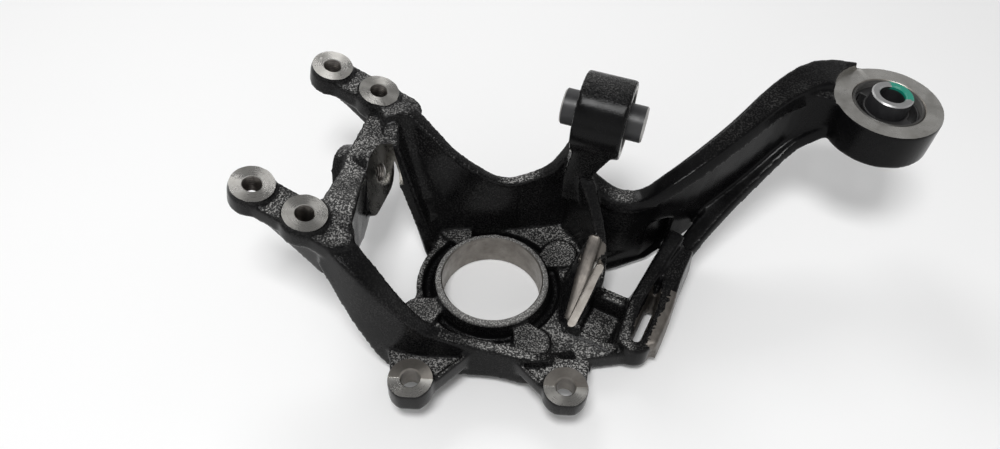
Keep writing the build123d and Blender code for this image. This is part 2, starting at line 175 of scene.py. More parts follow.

# where the paint's look changes, and where its painted highlight stops
LIP_REACH = 43.0          # radius of the collar's lip
LIP_HEIGHT = (-3, -1)
# the groove gets none of the painted highlight
GROOVE_REACH = 56.0       # radius of the groove round the collar
GROOVE_HEIGHT = (-10.5, -9)
ARM_BLEND = 7             # width of the change to the smoother arm, and to the ear
EAR_BLEND = 6
GREEN_MIDDLE = radians(28)      # direction of the green paint mark, and half its sweep
GREEN_SWEEP = 1.05
GREEN_DEPTH = 3.2               # how far it runs down the sleeve

# ================================================================ colours, linear
PAINT_DARK, PAINT_PALE = (0.0020, 0.0020, 0.0023), (0.0045, 0.0044, 0.0046)
# painted highlight: lighter tone on the level faces of the casting
PAINT_LIT_TOP = (0.030, 0.030, 0.030)
# painted highlight: lighter tone on the collar's lip
PAINT_LIP_HIGHLIGHT = (0.115, 0.113, 0.110)
# painted highlight: bright glints in the base colour
PAINT_GLINT = (0.36, 0.355, 0.345)
# lighter edges: wear, and painted highlight along them
PAINT_WEAR_AND_HIGHLIGHT = (0.10, 0.097, 0.093)
GREEN = (0.004, 0.215, 0.150)
RUBBER_DARK, RUBBER_PALE = (0.010, 0.010, 0.011), (0.026, 0.025, 0.025)
CUT_SHADOW = (0.10, 0.092, 0.085)
FLOOR_DARK, FLOOR_PALE = (0.90, 0.90, 0.90), (0.93, 0.93, 0.93)

# ================================================================ patterns, cycles to the metre
SAND, COARSE, SWELL, PATCH = 820, 300, 60, 34           # the paint's grain, fine to wide
SMEAR, STAIN = 90, 240                                  # handling marks on bare iron
RUBBER_BLOOM, RUBBER_GRAIN = 130, 1500
SLEEVE_SMEAR, SLEEVE_GRAIN = 150, 1300
GREEN_RAGGED = 320                                      # the paint mark's brushed edge
FLOOR_SHADE = 3

# ================================================================ camera, light and floor
IMAGE_WIDTH = 1000
FOCAL_PIXELS = 800.0
SENSOR = 36.0
CAMERA_PLACE = Vector((3.7, -357.2, 483.4)) * MM
CAMERA_RIGHT = Vector((0.99847, 0.04219, 0.03575))
CAMERA_UP = Vector((-0.0553, 0.76183, 0.64541))
NEAREST_SEEN = 0.01
LIGHT_TARGET = Vector((0.05, 0, 0.02))
DOME_BAND = (0.25, 0.80)  # height on the dome where its light starts and stops falling
DOME_LIGHT = (0.92, 0.22)
FLOOR_REACH = 6000
FLOOR_GAP = 0.2           # the floor lies this far below the part

# material slots of the casting
PAINT, FACED, BORED, TAPPED, MILLED = range(5)

# ================================================================ places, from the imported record
Mount = namedtuple("Mount", "place axis dims")
MOUNTS = {mount["name"]: Mount(Vector(mount["pos_m"]) / MM, Vector(mount["axis"]).normalized(),
                               mount["dims"]) for mount in frame["record"]["mounts"]}
PADS = [MOUNTS[f"pad_{i}"] for i in (1, 2, 3, 4)]
HUB = MOUNTS["hub_bore"]
HUB_BOLTS = MOUNTS["hub_bolts"]
CALIPER = MOUNTS["caliper_bolts"]
LUG = MOUNTS["side_lug_hole"]
FOOT_HOLE = MOUNTS["inner_plate_hole"]
LINK = MOUNTS["link_bush_bore"]
EYE = MOUNTS["arm_bush_bore"]
EYE_FACE = EYE.place + EYE.axis * (EYE_HEIGHT / 2)
UP = Vector((0, 0, 1))
NEARLY_UPRIGHT = 0.9
FOOT_ALONG = Vector((cos(radians(FOOT_ANGLE)), sin(radians(FOOT_ANGLE)), 0))
FOOT_ACROSS = Vector((FOOT_ALONG.y, -FOOT_ALONG.x, 0))
HUB_BOLT_SPOTS = [
    HUB_BOLTS.place + Vector((cos(a), sin(a), 0)) * (HUB_BOLTS.dims["pcd_mm"] / 2)
    for a in (radians(HUB_BOLT_ANGLE + 90 * k) for k in range(HUB_BOLTS.dims["count"]))]
CALIPER_SPOTS = [CALIPER.place + Vector((side * CALIPER.dims["spacing_x_mm"] / 2, 0, 0))
                 for side in (-1, 1)]


# ================================================================ mesh helpers
def new_object(name, mesh):
    thing = bpy.data.objects.new(name, mesh)
    bpy.context.scene.collection.objects.link(thing)
    return thing


def mesh_from(name, points, faces):
    mesh = bpy.data.meshes.new(name)
    mesh.from_pydata([tuple(Vector(p) * MM) for p in points], [], faces)
    mesh.update()
    return mesh


def finished(thing, finish):
    """Gives a cutter or a blank the casting's material slots, and all its faces one of them."""
    for made in CASTING_MATERIALS:
        thing.data.materials.append(made)
    thing.data.polygons.foreach_set("material_index", [finish] * len(thing.data.polygons))
    return thing


def axis_frame(place, axis):
    """Matrix that takes local +Z to the axis at a place, both in millimetres."""
    z = Vector(axis).normalized()
    return Matrix.Translation(Vector(place)) @ z.to_track_quat("Z", "Y").to_matrix().to_4x4()


def capped_faces(turns, rows):
    """Faces round a turned solid, and the fans from the two middle points that follow its rows."""
    low, high = turns * rows, turns * rows + 1
    faces = []
    for k in range(turns):
        a, b = k * rows, (k + 1) % turns * rows
        faces += [(a + i, b + i, b + i + 1, a + i + 1) for i in range(rows - 1)]
        faces += [(low, b, a), (high, a + rows - 1, b + rows - 1)]
    return faces


def post(radius, depth, top):
    """Profile of a plain round post, from a depth below its place to a height over it."""
    return [(radius, -depth), (radius, top)]


def turned(name, place, axis, profile, turns=TURNS, finish=PAINT):
    """Solid of revolution from (radius, height) points, closed flat at both ends."""
    spin = axis_frame(place, axis)
    points = []
    for k in range(turns):
        a = tau * k / turns
        points += [spin @ Vector((r * cos(a), r * sin(a), h)) for r, h in profile]
    points += [spin @ Vector((0, 0, h)) for h in (profile[0][1], profile[-1][1])]
    mesh = mesh_from(name, points, capped_faces(turns, len(profile)))
    return finished(new_object(name, mesh), finish)


def ring_solid(name, place, axis, profile, turns):
    """Closed ring from a loop of (radius, height) points, counter-clockwise."""
    spin = axis_frame(place, axis)
    rows = len(profile)
    points = [spin @ Vector((r * cos(tau * k / turns), r * sin(tau * k / turns), h))
              for k in range(turns) for r, h in profile]
    faces = []
    for k in range(turns):
        a, b = k * rows, (k + 1) % turns * rows
        faces += [(a + i, b + i, b + (i + 1) % rows, a + (i + 1) % rows) for i in range(rows)]
    return new_object(name, mesh_from(name, points, faces))


def tube_profile(inner, outer, low, high, chamfer):
    return [(inner, low + chamfer), (inner + chamfer, low),
            (outer - chamfer, low), (outer, low + chamfer),
            (outer, high - chamfer), (outer - chamfer, high),
            (inner + chamfer, high), (inner, high - chamfer)]


def hull_solid(name, points, finish):
    """Convex solid round the points."""
    shape = bmesh.new()
    for point in points:
        shape.verts.new(point * MM)
    made = bmesh.ops.convex_hull(shape, input=shape.verts)
    inside = {v for v in made["geom_interior"] if isinstance(v, bmesh.types.BMVert)}
    bmesh.ops.delete(shape, geom=list(inside), context="VERTS")
    mesh = bpy.data.meshes.new(name)
    shape.to_mesh(mesh)
    shape.free()
    return finished(new_object(name, mesh), finish)


def hull_prism(name, place, axis, circles, low, high, finish):
    """Prism over the hull of (across, along, radius) circles that lie square to an axis."""
    z = Vector(axis).normalized()
    up = Vector((1, 0, 0)) if abs(z.z) > NEARLY_UPRIGHT else UP
    x = (up - z * z.dot(up)).normalized()
    y = z.cross(x)
    points = []
    for a, b, radius in circles:
        for k in range(SMALL_TURNS):
            turn = tau * k / SMALL_TURNS
            flat = place + x * (a + radius * cos(turn)) + y * (b + radius * sin(turn))
            points += [flat + z * height for height in (low, high)]
    return hull_solid(name, points, finish)


def slot_mill(name, start, end, upright, radius, height):
    """Stadium-shaped end mill cut from one point to another."""
    side = upright.cross(end - start).normalized()
    along = (end - start).normalized()
    points = []
    for centre in (start, end):
        for k in range(SMALL_TURNS):
            turn = tau * k / SMALL_TURNS
            flat = centre + along * (radius * cos(turn)) + side * (radius * sin(turn))
            points += [flat + upright * rise for rise in (0, height)]
    return hull_solid(name, points, BORED)


def capsule(name, start, end, radius):
    """Round-ended bar, for a rolled cast edge or a pip."""
    start, end = Vector(start), Vector(end)
    reach = (end - start).length
    angles = [k * pi / (2 * CAP_RINGS) for k in range(1, CAP_RINGS)]
    cap = [(radius * sin(a), radius * (1 - cos(a)) - radius) for a in angles]
    profile = cap + [(radius, 0), (radius, reach)] + [(r, reach - h) for r, h in reversed(cap)]
    return turned(name, start, end - start, profile, SMALL_TURNS)


def slab(name, corner, sides, finish):
    """Box from one corner and three side vectors."""
    points = [corner + sides[0] * i + sides[1] * j + sides[2] * k
              for i in (0, 1) for j in (0, 1) for k in (0, 1)]
    faces = [(0, 1, 3, 2), (4, 6, 7, 5), (0, 4, 5, 1), (2, 3, 7, 6), (0, 2, 6, 4), (1, 5, 7, 3)]
    thing = new_object(name, mesh_from(name, points, faces))
    shape = bmesh.new()
    shape.from_mesh(thing.data)
    bmesh.ops.recalc_face_normals(shape, faces=shape.faces)
    shape.to_mesh(thing.data)
    shape.free()
    return finished(thing, finish)


def threaded_cutter(name, place, axis, radius, length, pitch=THREAD_PITCH):
    """Cutters for a tapped hole: one helical thread, and a chamfer at its mouth."""
    spin = axis_frame(place, axis)
    step = pitch / THREAD_STEPS
    thread = THREAD_DEPTH * pitch / THREAD_PITCH
    rows = int(length / step)
    points = []
    for k in range(SMALL_TURNS):
        a = tau * k / SMALL_TURNS
        for i in range(rows + 1):
            h = -length + i * step
            turn = abs(((h / pitch - k / SMALL_TURNS) % 1.0) * 2 - 1)
            r = radius + thread * (1 - turn) * min(1.0, i / THREAD_FADE)
            points.append(spin @ Vector((r * cos(a), r * sin(a), h)))
        points.append(spin @ Vector((radius * cos(a), radius * sin(a), MOUTH)))
    points += [spin @ Vector((0, 0, h)) for h in (-length, MOUTH)]
    mesh = mesh_from(name, points, capped_faces(SMALL_TURNS, rows + 2))
    cone = [(radius - RUN_OUT, -HOLE_CHAMFER - RUN_OUT),
            (radius + HOLE_CHAMFER + RUN_OUT, RUN_OUT)]
    return [finished(new_object(name, mesh), TAPPED),
            turned(name + "_chamfer", place, axis, cone, finish=FACED)]


def join(things):
    """Joins mesh objects into the first and returns it."""
    bpy.ops.object.select_all(action="DESELECT")
    for thing in things:
        thing.select_set(True)
    bpy.context.view_layer.objects.active = things[0]
    bpy.ops.object.join()
    return things[0]


def apply_modifiers(thing):
    bpy.context.view_layer.update()
    final = thing.evaluated_get(bpy.context.evaluated_depsgraph_get())
    mesh = bpy.data.meshes.new_from_object(final)
    thing.modifiers.clear()
    thing.data = mesh


def round_edges(thing, voxel, passes):
    """Remeshes on a fine grid and smooths, so every edge is as round as a mould leaves it."""
    voxels = thing.modifiers.new("voxels", "REMESH")
    voxels.mode = "VOXEL"
    voxels.voxel_size = voxel * MM
    smooth = thing.modifiers.new("radii", "SMOOTH")
    smooth.factor = 0.5
    smooth.iterations = passes
    apply_modifiers(thing)


def smooth_with_edges(thing, angle=SHARP_ANGLE):
    mesh = thing.data
    mesh.polygons.foreach_set("use_smooth", [True] * len(mesh.polygons))
    mesh.set_sharp_from_angle(angle=radians(angle))


def rows_of(items, attribute):
    """A vector attribute of all the vertices or faces, one row to each."""
    values = np.empty(len(items) * 3)
    items.foreach_get(attribute, values)
    return values.reshape(-1, 3)


# ================================================================ material helpers
def material(name):
    made = bpy.data.materials.new(name)
    made.use_nodes = True
    return made, made.node_tree, made.node_tree.nodes["Principled BSDF"]


def node(tree, kind, inputs=None, **settings):
    made = tree.nodes.new("ShaderNode" + kind)
    for key, value in settings.items():
        setattr(made, key, value)
    for key, value in (inputs or {}).items():
        if isinstance(value, bpy.types.NodeSocket):
            tree.links.new(value, made.inputs[key])
        else:
            made.inputs[key].default_value = value
    return made


def maths(tree, operation, *values):
    return node(tree, "Math", dict(enumerate(values)), operation=operation).outputs[0]


def product(tree, *values):
    """Product of two or more values."""
    result = values[0]
    for value in values[1:]:
        result = maths(tree, "MULTIPLY", result, value)
    return result


def opposite(tree, value):
    return maths(tree, "SUBTRACT", 1.0, value)


def vectors(tree, operation, *values):
    made = node(tree, "VectorMath", dict(enumerate(values)), operation=operation)
    return made.outputs["Value"] if operation in ("DOT_PRODUCT", "LENGTH") else made.outputs[0]


def place_of(tree):
    return node(tree, "TexCoord").outputs["Object"]


def noise(tree, vector, scale, detail=2.0, roughness=0.5):
    """Noise with so many cycles to the metre."""
    return node(tree, "TexNoise", {"Vector": vector, "Scale": scale, "Detail": detail,
                                   "Roughness": roughness}).outputs["Fac"]


def spread(tree, value, low, high, to_low=0.0, to_high=1.0):
    """Takes low...high to to_low...to_high, and stays there outside it."""
    return node(tree, "MapRange", {"Value": value, "From Min": low, "From Max": high,
                                   "To Min": to_low, "To Max": to_high}).outputs["Result"]


def blend_colour(tree, factor, first, second):
    made = node(tree, "Mix", data_type="RGBA")
    tree.links.new(factor, made.inputs["Factor"])
    for socket, value in (("A", first), ("B", second)):
        place = [i for i in made.inputs if i.name == socket and i.type == "RGBA"][0]
        if isinstance(value, bpy.types.NodeSocket):
            tree.links.new(value, place)
        else:
            place.default_value = (*value, 1)
    return [o for o in made.outputs if o.type == "RGBA"][0]


def shade_of(colour, share):
    return tuple(c * share for c in colour)


def bump(tree, shader, height, strength, distance):
    made = node(tree, "Bump", {"Height": height, "Distance": distance * MM, "Strength": strength})
    tree.links.new(made.outputs[0], shader.inputs["Normal"])


# ================================================================ materials
def paint_material():
    """Gloss black over sand-cast iron: grain on level faces with painted highlight glints in its
    colour, smooth on drafted walls.
    """
    made, tree, shader = material("black_casting")
    place = place_of(tree)
    geometry = node(tree, "NewGeometry")
    up = node(tree, "SeparateXYZ", {0: geometry.outputs["True Normal"]}).outputs["Z"]
    split = node(tree, "SeparateXYZ", {0: place})
    x, y, z = (split.outputs[name] for name in "XYZ")
    from_hub = vectors(tree, "LENGTH", node(tree, "CombineXYZ", {"X": x, "Y": y}).outputs[0])
    sand = noise(tree, place, SAND, 1.5, 0.6)
    coarse = noise(tree, place, COARSE)
    swell = noise(tree, place, SWELL)
    patch = spread(tree, noise(tree, place, PATCH), 0.36, 0.60, 0.35, 1.0)

    # masks: faces that look up, the collar's lip, the groove round it, the smoother arm and ear;
    # they place the painted highlight, which stays out of the groove and fades on the arm and the
    # upper ear
    facing = spread(tree, up, 0.84, 0.97, 0.05, 1.0)
    level = spread(tree, up, 0.92, 0.985, 0.04, 1.0)
    # the collar's lip, which gets a lighter tone and glints as painted highlight
    lip = product(tree, spread(tree, from_hub, LIP_REACH * MM, (LIP_REACH + 1) * MM, 1.0, 0.0),
                  spread(tree, z, LIP_HEIGHT[0] * MM, LIP_HEIGHT[1] * MM))
    groove = product(tree, spread(tree, from_hub, GROOVE_REACH * MM, (GROOVE_REACH + 2) * MM,
                                  1.0, 0.0),
                     spread(tree, z, GROOVE_HEIGHT[0] * MM, GROOVE_HEIGHT[1] * MM, 1.0, 0.0))
    inboard = spread(tree, x, SMOOTH_ARM * MM, (SMOOTH_ARM + ARM_BLEND) * MM, 1.0, 0.08)
    below_ear = spread(tree, z, SMOOTH_EAR * MM, (SMOOTH_EAR + EAR_BLEND) * MM, 1.0, 0.15)
    # painted highlight: level faces lighter in patches, kept out of the groove and faint on the
    # arm and upper ear
    lit_top = product(tree, level, patch, opposite(tree, groove), inboard, below_ear)

    height = maths(tree, "ADD", product(tree, sand, 0.75), product(tree, coarse, 0.5))
    bump(tree, shader, height, strength=product(tree, facing, inboard), distance=1.3)
    rough = spread(tree, maths(tree, "ADD", swell, product(tree, sand, 0.4)),
                   0.4, 0.95, 0.14, 0.30)
    tree.links.new(rough, shader.inputs["Roughness"])
    # painted highlight: bright glints in the base colour on the lighter level faces and the lip
    glint = product(tree, spread(tree, sand, 0.49, 0.62), maths(tree, "MAXIMUM", lit_top, lip))
    # lighter pointed edges in patches: wear, and painted highlight along the edges
    edge = spread(tree, geometry.outputs["Pointiness"], 0.53, 0.60, 0.0, 0.5)
    wear_and_highlight = product(tree, edge, spread(tree, coarse, 0.45, 0.6))
    tone = blend_colour(tree, swell, PAINT_DARK, PAINT_PALE)
    for mask, colour in ((lit_top, PAINT_LIT_TOP), (lip, PAINT_LIP_HIGHLIGHT), (glint, PAINT_GLINT),
                         (wear_and_highlight, PAINT_WEAR_AND_HIGHLIGHT)):
        tone = blend_colour(tree, mask, tone, colour)
    tree.links.new(tone, shader.inputs["Base Color"])
    shader.inputs["IOR"].default_value = 1.45
    shader.inputs["Specular IOR Level"].default_value = 0.13
    return made


def turning(tree):
    """Radius, height and tangent about the axis that each face was turned on."""
    centre = node(tree, "Attribute", attribute_name="turn_centre").outputs["Vector"]
    axis = node(tree, "Attribute", attribute_name="turn_axis").outputs["Vector"]
    out = vectors(tree, "SUBTRACT", place_of(tree), centre)
    height = vectors(tree, "DOT_PRODUCT", out, axis)
    along = vectors(tree, "CROSS_PRODUCT", axis, out)
    return vectors(tree, "LENGTH", along), height, vectors(tree, "NORMALIZE", along)


def machined_material(name, colour, dark, roughness, marks, depth, anisotropy, bored):
    """Bare iron with fine tool marks (so many to the metre), handling smears and a few stains."""
    made, tree, shader = material(name)
    place = place_of(tree)
    radius, height, tangent = turning(tree)
    travel = product(tree, height if bored else radius, marks)
    lines = node(tree, "CombineXYZ", {"X": travel}).outputs[0]
    groove = noise(tree, lines, 1.0, 3.0, 0.7)
    smear = noise(tree, place, SMEAR, 3.0, 0.6)
    stain = spread(tree, noise(tree, place, STAIN, 4.0, 0.7), 0.60, 0.74, 0.0, 0.55)
    tone = blend_colour(tree, spread(tree, smear, 0.35, 0.7), colour, dark)
    tone = blend_colour(tree, stain, tone, shade_of(dark, 0.45))
    marked = spread(tree, groove, 0.45, 0.75, 0.0, 0.35)
    tone = blend_colour(tree, marked, tone, shade_of(dark, 0.6))
    tree.links.new(tone, shader.inputs["Base Color"])
    rough = maths(tree, "ADD", spread(tree, smear, 0.3, 0.7, -0.05, 0.07),
                  spread(tree, groove, 0.3, 0.7, roughness - 0.04, roughness + 0.06))
    tree.links.new(rough, shader.inputs["Roughness"])
    tree.links.new(tangent, shader.inputs["Tangent"])
    shader.inputs["Metallic"].default_value = 1.0
    shader.inputs["Anisotropic"].default_value = anisotropy
    bump(tree, shader, groove, strength=0.6, distance=depth)
    return made


def rubber_material():
    """Black rubber with a faint bloom and the mould's fine grain."""
    made, tree, shader = material("moulded_rubber")
    place = place_of(tree)
    bloom = noise(tree, place, RUBBER_BLOOM, 3.0)
    grain = noise(tree, place, RUBBER_GRAIN)
    tree.links.new(blend_colour(tree, bloom, RUBBER_DARK, RUBBER_PALE),
                   shader.inputs["Base Color"])
    tree.links.new(spread(tree, bloom, 0.3, 0.7, 0.42, 0.62), shader.inputs["Roughness"])
    bump(tree, shader, grain, strength=0.5, distance=0.12)
    return made


def sleeve_material(name, face, side, roughness):
    """Steel sleeve: bare on its turned ends, and the darker side colour round its wall."""
    made, tree, shader = material(name)
    place = place_of(tree)
    ends = node(tree, "Attribute", attribute_name="end_face").outputs["Fac"]
    smear = noise(tree, place, SLEEVE_SMEAR, 3.0, 0.6)
    grain = noise(tree, place, SLEEVE_GRAIN)
    bare = blend_colour(tree, smear, face, shade_of(face, 0.7))
    coat = blend_colour(tree, smear, side, shade_of(side, 1.7))
    tree.links.new(blend_colour(tree, ends, coat, bare), shader.inputs["Base Color"])
    tree.links.new(ends, shader.inputs["Metallic"])
    tree.links.new(spread(tree, smear, 0.3, 0.7, roughness, roughness + 0.15),
                   shader.inputs["Roughness"])
    bump(tree, shader, grain, strength=0.4, distance=0.06)
    return made


def paint_mark(made, centre):
    """Green inspection paint, brushed over one side of the arm bush's sleeve end."""
    tree = made.node_tree
    shader = tree.nodes["Principled BSDF"]
    place = place_of(tree)
    out = vectors(tree, "SUBTRACT", place, tuple(Vector(centre) * MM))
    split = node(tree, "SeparateXYZ", {0: out})
    x, y, z = (split.outputs[name] for name in "XYZ")
    brushed = noise(tree, place, GREEN_RAGGED, 3.0)
    ragged = product(tree, maths(tree, "SUBTRACT", brushed, 0.5), 0.9)
    angle = maths(tree, "ADD", maths(tree, "ARCTAN2", y, x), ragged)
    turn = maths(tree, "ABSOLUTE", maths(tree, "SUBTRACT", angle, GREEN_MIDDLE))
    swept = maths(tree, "SUBTRACT", GREEN_SWEEP, turn)
    reach = maths(tree, "SUBTRACT", z, -GREEN_DEPTH * MM)
    mask = product(tree, spread(tree, swept, 0.0, 0.08), spread(tree, reach, 0.0, 0.4 * MM))
    tone = shader.inputs["Base Color"].links[0].from_socket
    tree.links.new(blend_colour(tree, mask, tone, GREEN), shader.inputs["Base Color"])
    metal = shader.inputs["Metallic"].links[0].from_socket
    tree.links.new(product(tree, metal, opposite(tree, mask)), shader.inputs["Metallic"])


CASTING_MATERIALS = [
    paint_material(),
    machined_material("faced_iron", (0.47, 0.46, 0.44), (0.34, 0.33, 0.31), roughness=0.27,
                      marks=2600, depth=0.05, anisotropy=0.80, bored=False),
    machined_material("bored_iron", (0.25, 0.235, 0.215), (0.17, 0.155, 0.14), roughness=0.38,
                      marks=1900, depth=0.05, anisotropy=0.45, bored=True),
    machined_material("tapped_iron", (0.21, 0.195, 0.18), CUT_SHADOW, roughness=0.34,
                      marks=1500, depth=0.02, anisotropy=0.2, bored=True),
    machined_material("milled_iron", (0.17, 0.155, 0.14), CUT_SHADOW, roughness=0.46,
                      marks=1300, depth=0.04, anisotropy=0.1, bored=True),
]


# ================================================================ the casting
def blanks():
    """Metal that fills each hole and stands over each machined face, and the cast details."""
    solids = [turned("pad_blank", pad.place, pad.axis, post(PAD_RADIUS, PAD_BLANK_DEPTH, STOCK))
              for pad in PADS]
    radius, depth = CALIPER_BLANK
    solids += [turned("caliper_blank", spot, UP, post(radius, depth, STOCK))
               for spot in CALIPER_SPOTS]
    lug = [(0, 0, LUG_RADIUS - BLANK_INSET), (*LUG_TAIL, LUG_TAIL_RADIUS - BLANK_INSET)]
    solids.append(hull_prism("lug_blank", LUG.place, LUG.axis, lug, -LUG_BLANK_DEPTH, STOCK,
                             PAINT))
    solids += [capsule("foot_edge", start, end, FOOT_EDGE_RADIUS)
               for start, end in zip(FOOT_EDGE, FOOT_EDGE[1:])]
    half = UP * WALL_BUMP_HALF
    solids += [capsule("wall_bump", Vector(spot) - half, Vector(spot) + half, WALL_BUMP_RADIUS)
               for spot in WALL_BUMPS]
    solids.append(turned("hub_blank", HUB.place, HUB.axis,
                         post(HUB.dims["r_mm"] + PLUG, HUB.dims["length_mm"], 0)))
    solids.append(turned("link_blank", LINK.place, LINK.axis,
                         post(LINK_BUSH_RADIUS + PLUG, LINK_EAR_HALF + STOCK,
                              LINK_EAR_HALF + STOCK)))
    radius, depth = HUB_BOSS_BLANK
    solids += [turned("hub_boss_blank", spot, HUB_BOLTS.axis, post(radius, depth, STOCK))
               for spot in HUB_BOLT_SPOTS]
    web = [(0, 0, EYE_RADIUS - BLANK_INSET), EYE_WEB]
    solids.append(hull_prism("eye_web", EYE_FACE, EYE.axis, web, -EYE_WEB_DEPTH, -EYE_WEB_TOP,
                             PAINT))
    solids.append(turned("eye_blank", EYE_FACE, EYE.axis,
                         post(EYE_RADIUS - BLANK_INSET, EYE_HEIGHT, STOCK)))
    return solids


def face_mill(name, place, axis, radius, headroom, finish=FACED):
    """Cutter that leaves a flat round face and clears what stands over it."""
    return turned(name, place, axis, post(radius, 0, headroom), finish=finish)


def through_bore(name, place, axis, radius, half):
    """Boring bar for a hole that is chamfered at both ends."""
    wide = radius + BORE_CHAMFER + RUN_OUT
    profile = [(wide, -half - RUN_OUT), (radius, -half + BORE_CHAMFER),
               (radius, half - BORE_CHAMFER), (wide, half + RUN_OUT)]
    return turned(name, place, axis, profile, 2 * TURNS, BORED)


def foot_point(across, along, up):
    return FOOT_ACROSS * across + FOOT_ALONG * along + Vector((0, 0, up))


def pad_tools(pad):
    through = THROUGH_TAP if pad.dims["length_mm"] < PADS[0].dims["length_mm"] else 0
    return [face_mill("pad_face", pad.place, pad.axis, PAD_RADIUS + FACE_MARGIN, SMALL_HEADROOM),
            *threaded_cutter("pad_tap", pad.place, pad.axis, pad.dims["r_mm"],
                             pad.dims["length_mm"] + through)]


def caliper_tools(spot):
    """Two cuts over the boss, back half darker and front half brighter as painted reflection, then
    the bolt's plain hole.
    """
    radius, reach = CALIPER.dims["hole_r_mm"], CALIPER_FACE_RADIUS
    hole = [(radius, -CALIPER_HOLE_DEPTH), (radius, -BORE_CHAMFER),
            (radius + BORE_CHAMFER + RUN_OUT, RUN_OUT)]
    # painted reflection: the whole face takes the darker bored finish, then its front half the
    # brighter faced finish
    return [face_mill("caliper_shaded_face", spot, UP, reach, SMALL_HEADROOM, BORED),
            slab("caliper_lit_half", spot - Vector((reach, reach, CALIPER_STEP)),
                 [Vector((2 * reach, 0, 0)), Vector((0, reach, 0)), UP * SMALL_HEADROOM], FACED),
            turned("caliper_hole", spot, UP, hole, SMALL_TURNS, BORED)]


def lug_tools():
    sweep = [(0, 0, LUG_RADIUS + FACE_MARGIN), (*LUG_TAIL, LUG_TAIL_RADIUS + FACE_MARGIN)]
    return [hull_prism("lug_face", LUG.place, LUG.axis, sweep, 0, LUG_HEADROOM, FACED),
            *threaded_cutter("lug_tap", LUG.place, LUG.axis, LUG.dims["r_mm"],
                             LUG.dims["length_mm"])]


def hub_tools():
    radius, depth = HUB.dims["r_mm"], HUB.dims["length_mm"]
    bore = [(radius + BORE_CHAMFER + RUN_OUT, -depth - RUN_OUT), (radius, -depth + BORE_CHAMFER),
            (radius, -BORE_CHAMFER), (radius + BORE_CHAMFER + HUB_FLARE, HUB_FLARE)]
    tools = [turned("hub_bore", HUB.place, HUB.axis, bore, 2 * TURNS, BORED),
             face_mill("hub_face", HUB_BOLTS.place, HUB_BOLTS.axis, HUB_FACE_RADIUS,
                       WIDE_HEADROOM)]
    for spot in HUB_BOLT_SPOTS:
        tools += threaded_cutter("hub_tap", spot, HUB_BOLTS.axis, HUB_BOLTS.dims["hole_r_mm"],
                                 HUB_BOLT_DEPTH, HUB_THREAD_PITCH)
    return tools


def link_tools():
    ends = [face_mill("link_face", LINK.place + LINK.axis * (side * LINK_EAR_HALF),
                      LINK.axis * side, LINK_FACE_RADIUS, WIDE_HEADROOM) for side in (-1, 1)]
    return ends + [through_bore("link_bore", LINK.place, LINK.axis, LINK_BUSH_RADIUS,
                                LINK_EAR_HALF)]


def eye_tools():
    radius = EYE_RADIUS + EYE_FACE_MARGIN
    return [face_mill("eye_face", EYE_FACE, EYE.axis, radius, EYE_HEADROOM),
            face_mill("eye_underside", EYE_FACE - EYE.axis * EYE_HEIGHT, -EYE.axis, radius,
                      WIDE_HEADROOM),
            through_bore("eye_bore", EYE.place, EYE.axis, ARM_BUSH_RADIUS, EYE_HEIGHT / 2)]


def foot_tools():
    """The inner lug's sloping ledge, and the small tapped hole in its face."""
    start, end = (foot_point(LEDGE_FACE + LEDGE_CUT / 2, *spot)
                  for spot in (LEDGE_START, LEDGE_END))
    upright = (end - start).cross(FOOT_ACROSS).normalized()
    upright = upright if upright.z > 0 else -upright
    place, axis, dims = FOOT_HOLE
    mouth = place + axis * (LEDGE_FACE - place.dot(FOOT_ACROSS))
    return [slot_mill("lug_milling", start, end, upright, LEDGE_CUT / 2, LEDGE_HEADROOM),
            *threaded_cutter("foot_tap", mouth, axis, dims["r_mm"], dims["length_mm"],
                             FOOT_THREAD_PITCH)]


def cutters():
    """The machining: faces, bores and tapped holes."""
    tools = []
    for pad in PADS:
        tools += pad_tools(pad)
    for spot in CALIPER_SPOTS:
        tools += caliper_tools(spot)
    return tools + lug_tools() + hub_tools() + link_tools() + eye_tools() + foot_tools()


def cut_away(body, tools):
    for tool in tools:
        cut = body.modifiers.new(tool.name, "BOOLEAN")
        cut.operation = "DIFFERENCE"
        cut.solver = "MANIFOLD"
        cut.object = tool
        apply_modifiers(body)
        bpy.data.objects.remove(tool)
    return body


def sand_grain(mesh):
    """Sand grain in the skin itself, strong where it faces up and faint on the drafted walls."""
    points = rows_of(mesh.vertices, "co")
    normals = rows_of(mesh.vertex_normals, "vector")
    facing = np.clip((normals[:, 2] - GRAIN_START) / GRAIN_SPAN, LEAST_GRAIN, 1.0)
    facing[points[:, 0] > SMOOTH_ARM * MM] *= GRAIN_ON_ARM
    rise = np.array([field.noise(Vector(point) / (GRAIN_SIZE * MM)) for point in points])
    points += normals * (rise * facing * GRAIN_HEIGHT * MM)[:, None]
    lowest, highest = (np.array(corner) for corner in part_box("knuckle_casting"))
    points = np.clip(points, lowest, highest - GRAIN_INSET * MM)
    mesh.vertices.foreach_set("co", points.ravel())
    mesh.update()


def raw_casting():
    """The casting before machining, with round edges and sand grain."""
    metal = new_object("casting", frame["nodes"]["knuckle_casting"].data.copy())
    metal.data.materials.clear()
    body = join([finished(metal, PAINT)] + blanks())
    round_edges(body, VOXEL, CAST_ROUNDING)
    sand_grain(body.data)
    thin = body.modifiers.new("thin", "DECIMATE")
    thin.ratio = KEPT_FACES
    apply_modifiers(body)
    body.data.materials.clear()
    return finished(body, PAINT)


def between(values, limits):
    return (values > limits[0]) & (values < limits[1])


